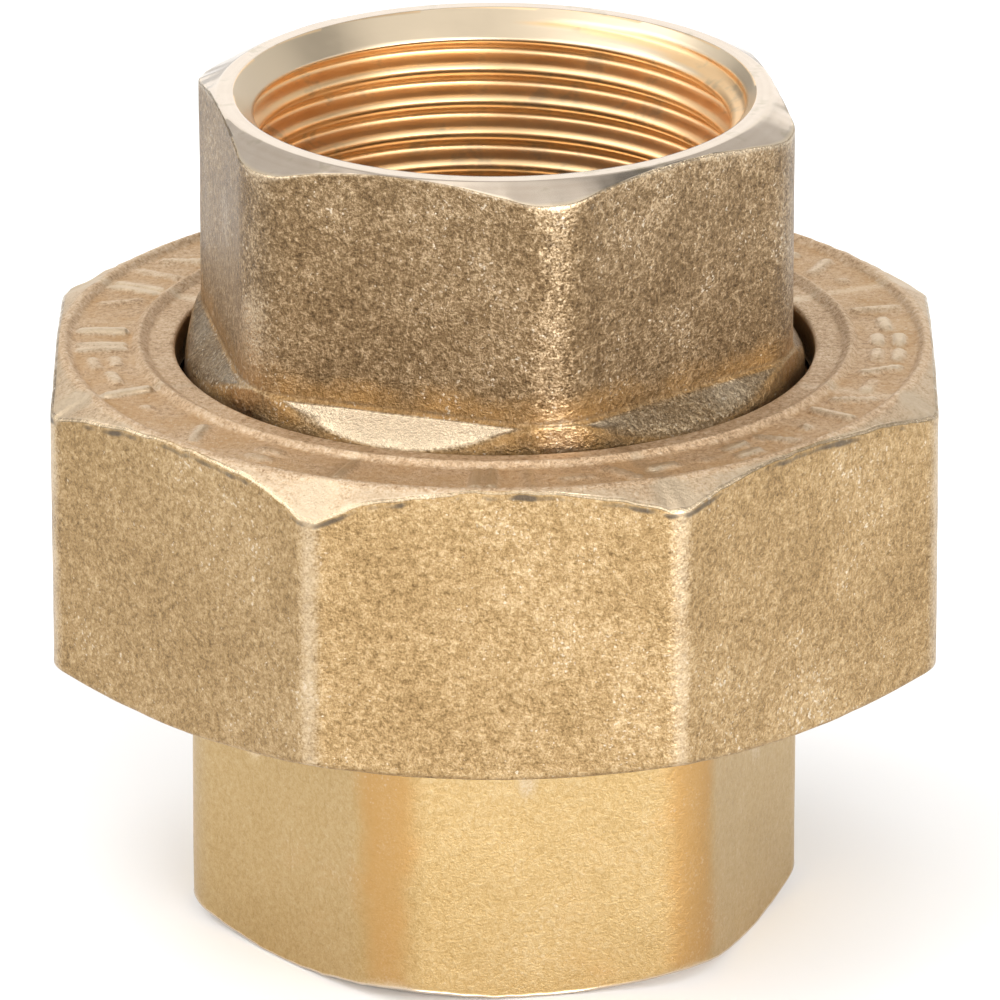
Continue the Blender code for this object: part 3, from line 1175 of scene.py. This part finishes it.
@dataclass
class CastingMarks:
    """A worn ring of plain raised bars and dots on the nut's top face.

    Each mark is one or two capsules: the points within half a width of a short segment, laid out
    along the ring (across, outward) from the mark's middle. A segment is (x0, y0, x1, y1), in
    heights. A share of the places is left empty, and each mark keeps at least faintest of itself.
    """

    middle: float = 20.75 * MM
    spacing: float = 2.35 * MM
    height: float = 1.05 * MM
    width: float = 0.34 * MM
    faintest: float = 0.45
    empty: float = 0.12
    seed: int = 71

    SHAPES = (
        ((0.0, -1.0, 0.0, 1.0),),
        ((-0.55, 0.0, 0.55, 0.0),),
        ((-0.35, -1.0, -0.35, 1.0), (0.35, -1.0, 0.35, 1.0)),
        ((0.0, 0.0, 0.0, 0.0),),
        ((-0.5, -0.75, 0.5, 0.75),),
        ((-0.5, 0.55, 0.5, 0.55), (-0.5, -0.55, 0.5, -0.55)),
    )

    def relief(self, theta: np.ndarray, radius: np.ndarray) -> np.ndarray:
        """1 on the marks, 0 off them, with soft worn sides."""
        rng = np.random.default_rng(self.seed)
        count = int(math.tau * self.middle / self.spacing)
        total = np.zeros(np.broadcast(theta, radius).shape)
        outward = radius - self.middle
        inside, outside = self.width * 0.5, self.width * 1.5
        for number in range(count):
            shape = self.SHAPES[int(rng.integers(len(self.SHAPES)))]
            shown = self.faintest + (1 - self.faintest) * rng.random()
            if rng.random() < self.empty:
                continue
            across = self.middle * turned_off(theta, math.tau * number / count)
            for x0, y0, x1, y1 in shape:
                start = np.array([x0, y0]) * self.height
                way = np.array([x1 - x0, y1 - y0]) * self.height
                squared = max(float(way @ way), TINY**2)
                x, y = across - start[0], outward - start[1]
                t = np.clip((x * way[0] + y * way[1]) / squared, 0, 1)
                gap = np.hypot(x - t * way[0], y - t * way[1])
                total = np.maximum(total, shown * (1 - step_between(gap, inside, outside)))
        return total


@dataclass
class UnionNut:
    """The octagon nut: chamfered top with casting marks, recess, hole, lip and internal thread."""

    outline: RoundedPolygon = RoundedPolygon(8, 46.3 * MM, 1.8 * MM, math.radians(-90.0))
    thread: HelicalThread = HelicalThread(2.309 * MM, 19.596 * MM, 21.075 * MM, land=0.7)
    rows_per_pitch: int = 8
    flat_steps: int = 54
    corner_steps: int = 18
    face_radius: float = 22.75 * MM
    chamfer: float = math.radians(27.0)
    least_chamfer: float = 0.08 * MM
    ragged: tuple[Wobble, ...] = (Wobble(0.09 * MM, 0.02, 33), Wobble(0.10 * MM, 0.20, 34))
    recess_top: float = 18.75 * MM
    recess_floor: float = 18.2 * MM
    recess_depth: float = 0.4 * MM
    hole: float = 16.87 * MM
    lip_bottom: float = 29.05 * MM
    relief: float = 21.3 * MM
    thread_end: float = 25.9 * MM
    mouth: float = 21.755 * MM
    foot_radius: float = 22.8 * MM
    foot_chamfer: float = math.radians(22.0)
    foot_ragged: tuple[Wobble, ...] = (Wobble(0.03 * MM, 0.05, 36), Wobble(0.06 * MM, 0.3, 37))
    skin: tuple[Lumps, ...] = (Lumps(4.2 * MM, 0.07 * MM, 31), Lumps(1.1 * MM, 0.025 * MM, 32))
    marks: CastingMarks = field(default_factory=CastingMarks)
    mark_height: float = 0.36 * MM
    mark_lumps: float = 1.3 * MM
    mark_seed: int = 35
    worn_corner: float = math.radians(-112.5)
    worn_corner_depth: float = 0.75 * MM
    worn_corner_width: float = 0.085
    fine_rows_below_edge: float = 0.9 * MM
    edge_wear: float = 0.12 * MM
    edge_shine: float = 0.4
    corner_shine: float = 0.60
    mark_shine: float = 0.9
    chamfer_shine: float = 0.55
    dirt_line: float = 0.28 * MM
    dirt_width: float = 0.22 * MM
    dirt_mean: float = 0.70
    dirt_gaps: tuple[Wobble, ...] = (Wobble(0.40, 0.07, 38), Wobble(0.35, 0.02, 39))
    flat_dirt: float = 0.90
    corner_dirt: float = 0.40
    recess_width: float = 0.3 * MM
    # Painted shade: the recess floor and the gap wall round the neck are darkened; the recess stain
    # is real tarnish.
    recess_shade: float = 0.35
    recess_stain: float = 0.4
    gap_shade: float = 0.9
    ring_stain: float = 0.56
    finishes: tuple[Finish, ...] = (Finish.NUT_CAST, Finish.TURNED, Finish.THREAD, Finish.NUT_FACE_PAINTED_LIGHTER)

    def chamfer_drop(self, theta: np.ndarray, bar: np.ndarray) -> np.ndarray:
        """How far below the top the chamfer meets the sides; one corner is knocked further down."""
        drop = (bar - self.face_radius) * math.tan(self.chamfer)
        off = turned_off(theta, self.worn_corner)
        knocked = self.worn_corner_depth * bell(off, 0.0, self.worn_corner_width)
        ragged = sum(wobble.at(theta) for wobble in self.ragged)
        return np.maximum(drop + knocked + ragged, self.least_chamfer)

    def build(self) -> bpy.types.Object:
        """Makes the piece."""
        low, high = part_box("union_nut")
        face, top = low.z, high.z
        theta = self.outline.columns(self.flat_steps, self.corner_steps)
        bar = self.outline.radius(theta)
        edge = top - self.chamfer_drop(theta, bar)
        ragged = sum(wobble.at(theta) for wobble in self.foot_ragged)
        foot = face + (bar - self.foot_radius) * math.tan(self.foot_chamfer) + np.abs(ragged)
        recess = top - self.recess_depth
        outline = outline_strip(
            theta,
            [
                Station(self.mouth, face, Zone.CAST, 2),
                Station(self.foot_radius, face, Zone.CAST, 2, 0.20 * MM),
                Station(bar, foot, Zone.CAST, 18, 0.28 * MM),
                Station(bar, edge - self.fine_rows_below_edge, Zone.CAST, 10),
                Station(bar, edge, Zone.FACE, 7, 0.2 * MM),
                Station(self.face_radius, top, Zone.FACE, 26, 0.3 * MM),
                Station(self.recess_top, top, Zone.FACE, 2, 0.15 * MM),
                Station(self.recess_floor, recess, Zone.FACE, 4, 0.12 * MM),
                Station(self.hole, recess, Zone.THREADED, 3, 0.25 * MM),
                Station(self.hole, self.lip_bottom, Zone.TURNED, 2, 0.15 * MM),
                Station(self.relief, self.lip_bottom, Zone.TURNED, 2, 0.2 * MM),
                Station(self.relief, self.thread_end, Zone.TURNED),
            ],
        )
        outline.sink(theta, self.skin, Zone.CAST)
        ring, raised = self.raise_marks(outline, theta, top)
        self.age(outline, theta, edge, top, ring, raised)
        bore = thread_strip(
            theta,
            self.thread,
            (face, self.thread_end),
            [(self.mouth, face, -1.0), (self.relief, self.thread_end, 1.0)],
            Side.BORE,
            Zone.TURNED,
            self.rows_per_pitch,
        )
        return ring_object("union_nut_brass", theta, [outline, bore], list(self.finishes))

    def raise_marks(
        self, strip: Strip, theta: np.ndarray, top: float
    ) -> tuple[np.ndarray, np.ndarray]:
        """Sinks the top face round its marks.

        Args:
            strip: the rows, whose heights change in place.
            theta: directions round the axis.
            top: height of the nut's top.

        Returns:
            The ring of the top face that is sunk, and the marks on it, both from 0 to 1.
        """
        outside = step_between(strip.radius, self.face_radius - 0.6 * MM, self.face_radius)
        ring = step_between(strip.radius, self.recess_top, self.recess_top + 0.5 * MM)
        ring = ring * (1 - outside)
        ring = ring * step_between(strip.height, top - 0.1 * MM, top - 0.02 * MM)
        raised = self.marks.relief(theta[None, :], strip.radius)
        lumps = lattice_noise(strip.places(theta), self.mark_lumps, self.mark_seed)
        strip.height -= ring * self.mark_height * (1 - raised * (0.5 + 0.6 * lumps))
        return ring, raised

    def age(
        self,
        strip: Strip,
        theta: np.ndarray,
        edge: np.ndarray,
        top: float,
        ring: np.ndarray,
        raised: np.ndarray,
    ) -> None:
        """Wears, stains, dirties and paints shade on the rows.

        The edge, corners, chamfer and marks are worn bright. Dirt lies in a broken line under the
        edge, and painted shade darkens the recess and the gap round the neck. The sunk ring is
        stained.

        Args:
            strip: the rows, which are painted in place.
            theta: directions round the axis.
            edge: height where the chamfer meets the sides.
            top: height of the nut's top.
            ring: the sunk ring of the top face, from 0 to 1.
            raised: its marks, from 0 to 1.
        """
        cast = strip.touching(Zone.CAST, Zone.FACE)
        edge = edge[None, :]
        from_edge = np.abs(strip.height - edge)
        corner = self.outline.cornerness(theta)[None, :]
        chamfered = step_between(strip.radius, self.face_radius, self.face_radius + 0.5 * MM)
        chamfered = chamfered * (strip.height > edge - 0.1 * MM)
        edges = self.edge_shine * np.exp(-from_edge / self.edge_wear) + self.corner_shine * corner
        marked = self.mark_shine * ring * raised
        strip.wear_and_highlight = cast * np.clip(edges + marked + self.chamfer_shine * chamfered, 0, 1)
        under = bell(strip.height, edge - self.dirt_line, self.dirt_width)
        under = under * sum((gap.at(theta) for gap in self.dirt_gaps), self.dirt_mean)[None, :]
        under = under * (strip.radius > self.face_radius + 0.15 * MM)
        under = under * (self.flat_dirt + self.corner_dirt * corner)
        # Painted shade in the recess floor and on the gap wall round the neck; the broken line
        # under the edge above is real dirt.
        sunk = bell(strip.radius, self.recess_floor, self.recess_width)
        sunk = sunk * (strip.height > self.lip_bottom)
        gap = 1 - step_between(strip.height, self.lip_bottom, top - self.recess_depth)
        gap = gap * (strip.radius < self.recess_floor)
        strip.grime_and_shade = cast * (under + self.recess_shade * sunk) + self.gap_shade * gap
        strip.stain = ring * self.ring_stain * (1 - raised) + self.recess_stain * sunk


@dataclass
class SealingRing:
    """The flat rubber ring between the ends, with rounded rims."""

    steps: int = 300
    hole: float = 12.1 * MM
    rim: float = 0.25 * MM

    def build(self) -> bpy.types.Object:
        """Makes the piece."""
        low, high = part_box("gasket")
        outer, inner = high.x, self.hole
        middle = (inner + outer) / 2
        theta = math.tau * np.arange(self.steps) / self.steps
        strip = outline_strip(
            theta,
            [
                Station(middle, low.z, 0, 3),
                Station(outer, low.z, 0, 2, self.rim),
                Station(outer, high.z, 0, 4, self.rim),
                Station(inner, high.z, 0, 2, self.rim),
                Station(inner, low.z, 0, 3, self.rim),
                Station(middle, low.z, 0),
            ],
        )
        return ring_object("sealing_ring_rubber", theta, [strip], [Finish.RUBBER])


# ---------------------------------------------------------------------------------------------
# Studio
# ---------------------------------------------------------------------------------------------


@dataclass(frozen=True)
class SoftBox:
    """A large rectangular light aimed at the middle of the union.

    Azimuth is in degrees round from the camera's side towards +X, elevation in degrees above the
    floor. Glow is the brightness of its face, where 1 is as bright as a white sheet looks.
    """

    name: str
    azimuth: float
    elevation: float
    width: float
    height: float
    glow: float
    distance: float = 0.60

    def build(self, aim: float) -> None:
        """Hangs it, facing a point at height aim on the pipe axis."""
        data = bpy.data.lights.new(self.name, "AREA")
        data.shape = "RECTANGLE"
        data.size, data.size_y = self.width, self.height
        data.energy = self.glow * math.pi * self.width * self.height
        made = bpy.data.objects.new(self.name, data)
        side, up = math.radians(self.azimuth), math.radians(self.elevation)
        made.location = (
            self.distance * math.sin(side) * math.cos(up),
            -self.distance * math.cos(side) * math.cos(up),
            aim + self.distance * math.sin(up),
        )
        made.rotation_euler = (math.pi / 2 - up, 0.0, side)
        bpy.context.scene.collection.objects.link(made)


@dataclass(frozen=True)
class SkyPatch:
    """A round soft-edged patch of the surroundings that is brighter or darker than the rest.

    Azimuth and elevation are in degrees as for a SoftBox, reach is the angle from its middle to
    its edge, and change is added to the brightness.
    """

    azimuth: float
    elevation: float
    reach: float
    change: float
    softness: float = 8.0

    def level(self, graph: Graph, way: Signal) -> Signal:
        """Its share of the brightness in the direction way.

        The step runs along the cosine of the angle between way and the patch's middle.
        """
        side, up = math.radians(self.azimuth), math.radians(self.elevation)
        middle = (math.sin(side) * math.cos(up), -math.cos(side) * math.cos(up), math.sin(up))
        settings = {"operation": "DOT_PRODUCT"}
        facing = graph.signal("ShaderNodeVectorMath", settings, {0: way, 1: middle}, "Value")
        outer = math.cos(math.radians(self.reach + self.softness))
        inner = math.cos(math.radians(max(self.reach - self.softness, 0.0)))
        return facing.rising(outer, inner) * self.change


@dataclass
class Studio:
    """Pale floor, large soft lights and the camera.

    The camera looks at aim from distance away, elevation above level. sky is the brightness of the
    surroundings between the patches.
    """

    elevation: float = math.radians(20.9)
    distance: float = 0.600
    view_width: float = 0.0530
    sensor_width: float = 36.0
    clip: tuple[float, float] = (0.01, 20.0)
    aim: tuple[float, float, float] = (0.27 * MM, 0.0, 22.45 * MM)
    floor_reach: float = 3.0
    floor_sides: int = 64
    floor_patch: float = 0.2
    floor_tones: tuple[Colour, Colour] = ((0.94, 0.94, 0.94), (0.97, 0.97, 0.97))
    sky: float = 0.80
    patches: tuple[SkyPatch, ...] = (
        SkyPatch(106.0, 41.0, 11.0, -0.62, 4.0),
        SkyPatch(150.0, 66.0, 13.0, -0.60, 4.0),
        SkyPatch(-147.0, 10.0, 12.0, -0.55, 5.0),
        SkyPatch(-84.0, 60.0, 24.0, 0.45),
        SkyPatch(-165.0, 74.0, 18.0, 0.9),
    )
    boxes: tuple[SoftBox, ...] = (
        SoftBox("right low box", 34.0, 15.0, 0.58, 0.26, 4.0),
        SoftBox("right high box", 36.0, 45.0, 0.62, 0.34, 1.2),
        SoftBox("right edge strip", 43.0, 10.0, 0.12, 0.35, 3.2),
        SoftBox("left low box", -62.0, 14.0, 0.90, 0.26, 0.6),
        SoftBox("left high box", -62.0, 42.0, 0.90, 0.32, 1.8),
        SoftBox("front box", 17.0, 8.0, 0.25, 0.25, 4.6),
        SoftBox("back box", 180.0, 20.0, 0.45, 0.30, 0.7),
    )

    def camera(self) -> None:
        """Places the camera in front of the nut's flat, looking down on it.

        The lens is set so that view_width spans the picture at the aim point.
        """
        data = bpy.data.cameras.new("camera")
        data.sensor_width = self.sensor_width
        data.lens = data.sensor_width * self.distance / self.view_width
        data.clip_start, data.clip_end = self.clip
        made = bpy.data.objects.new("camera", data)
        x, y, z = self.aim
        made.location = (
            x,
            y - self.distance * math.cos(self.elevation),
            z + self.distance * math.sin(self.elevation),
        )
        made.rotation_euler = (math.pi / 2 - self.elevation, 0.0, 0.0)
        bpy.context.scene.collection.objects.link(made)
        bpy.context.scene.camera = made

    def floor(self) -> None:
        """A pale round floor."""
        paint, graph = new_material("pale floor")
        tint = graph.noise(graph.place(), self.floor_patch)
        graph.surface(
            Base_Color=graph.mix(tint, *self.floor_tones), Roughness=0.9, Metallic=0.0
        )
        ring = math.tau * np.arange(self.floor_sides) / self.floor_sides
        rim = np.stack([np.cos(ring), np.sin(ring), np.zeros_like(ring)], axis=-1)
        mesh = bpy.data.meshes.new("floor")
        mesh.from_pydata((self.floor_reach * rim).tolist(), [], [list(range(self.floor_sides))])
        mesh.materials.append(paint)
        made = bpy.data.objects.new("floor", mesh)
        bpy.context.scene.collection.objects.link(made)

    def surroundings(self) -> None:
        """A white sky with its brighter and darker patches."""
        world = bpy.data.worlds.new("studio")
        world.use_nodes = True
        graph = Graph(world.node_tree)
        way = graph.signal("ShaderNodeTexCoord", {}, {}, "Generated")
        level = sum((patch.level(graph, way) for patch in self.patches), self.sky)
        inputs = {"Color": (1.0, 1.0, 1.0, 1.0), "Strength": level}
        glow = graph.signal("ShaderNodeBackground", {}, inputs)
        graph.node("ShaderNodeOutputWorld", {}, {"Surface": glow})
        bpy.context.scene.world = world

    def build(self) -> None:
        """Makes the whole set."""
        self.camera()
        self.floor()
        self.surroundings()
        bpy.context.scene.view_settings.view_transform = "Standard"
        for box in self.boxes:
            box.build(self.aim[2])


MATERIALS = {finish: finish.value.material() for finish in Finish}


def main() -> None:
    """Builds the set and each piece, and hands the pieces to the frame."""
    logging.basicConfig(level=logging.INFO, format="%(name)s: %(message)s")
    Studio().build()
    pieces = (
        (LowerEnd(), "lower_end", "satin_brass"),
        (SealingRing(), "gasket", "seal_rubber"),
        (UnionNut(), "union_nut", "nut_brass"),
        (UpperEnd(), "upper_end", "sand_brass"),
    )
    for maker, node, slot in pieces:
        piece = maker.build()
        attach(piece, node)
        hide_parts(node)
        points, faces = len(piece.data.vertices), len(piece.data.polygons)
        LOG.info("%s: %d points, %d faces", piece.name, points, faces)


if __name__ == "__main__":
    main()
